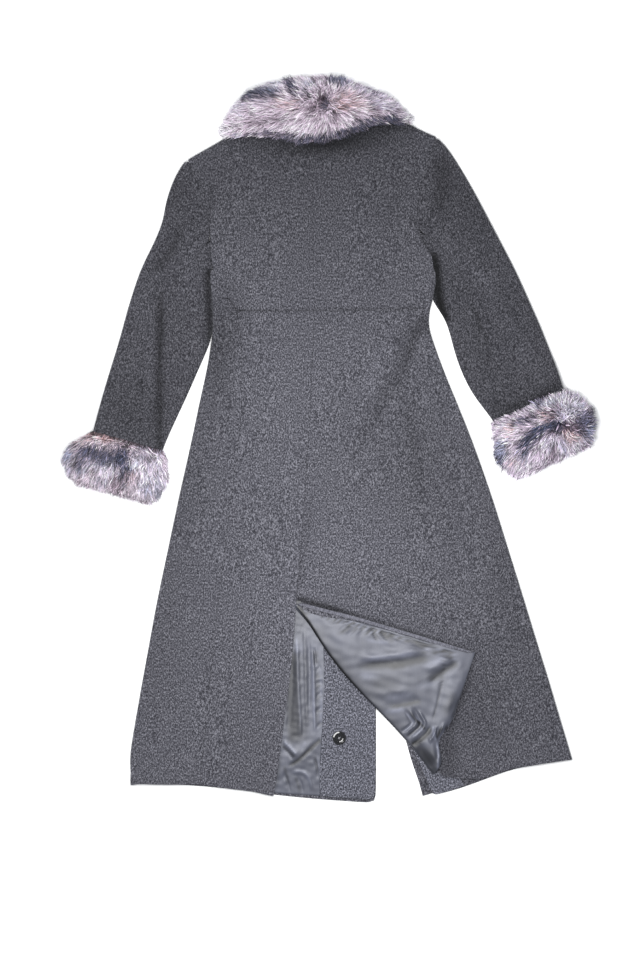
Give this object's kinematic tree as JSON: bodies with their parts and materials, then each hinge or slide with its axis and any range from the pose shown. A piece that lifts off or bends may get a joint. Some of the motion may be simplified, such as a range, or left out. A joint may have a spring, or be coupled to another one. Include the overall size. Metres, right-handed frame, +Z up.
{
  "type": "maxi coat",
  "caption": "Long flared wool coat laid flat on its front, with a fur collar, fur cuffs, a waist seam and one corner of the open back vent turned back to its satin lining.",
  "frame": {"origin": "middle of the coat's footprint, on the surface that it lies on", "axes": "+Y from hem to collar, +Z up out of the surface, the back of the coat faces +Z and its right sleeve is at +X"},
  "size_m": [0.9546, 1.3078, 0.044],
  "materials": {
    "wool": "melange coating wool",
    "satin_lining": "satin",
    "fur": "long pile fur",
    "button": "polished"
  },
  "bodies": {
    "root": {"back_bodice_left": "wool", "back_bodice_right": "wool", "back_skirt_left": "wool", "back_skirt_right": "wool", "front_bodice_left": "wool", "front_bodice_right": "wool", "front_skirt_left": "wool", "front_skirt_right": "wool", "facing_left": "wool", "facing_right": "wool", "lining_front": "satin_lining", "vent_flap": "wool", "vent_flap_edge": "wool", "vent_flap_lining": "satin_lining", "sleeve_left_top": "wool", "sleeve_left_under": "wool", "sleeve_right_top": "wool", "sleeve_right_under": "wool", "fur_cuff_left": "fur", "fur_cuff_right": "fur", "fur_collar": "fur", "button": "button"}
  },
  "joints": []
}
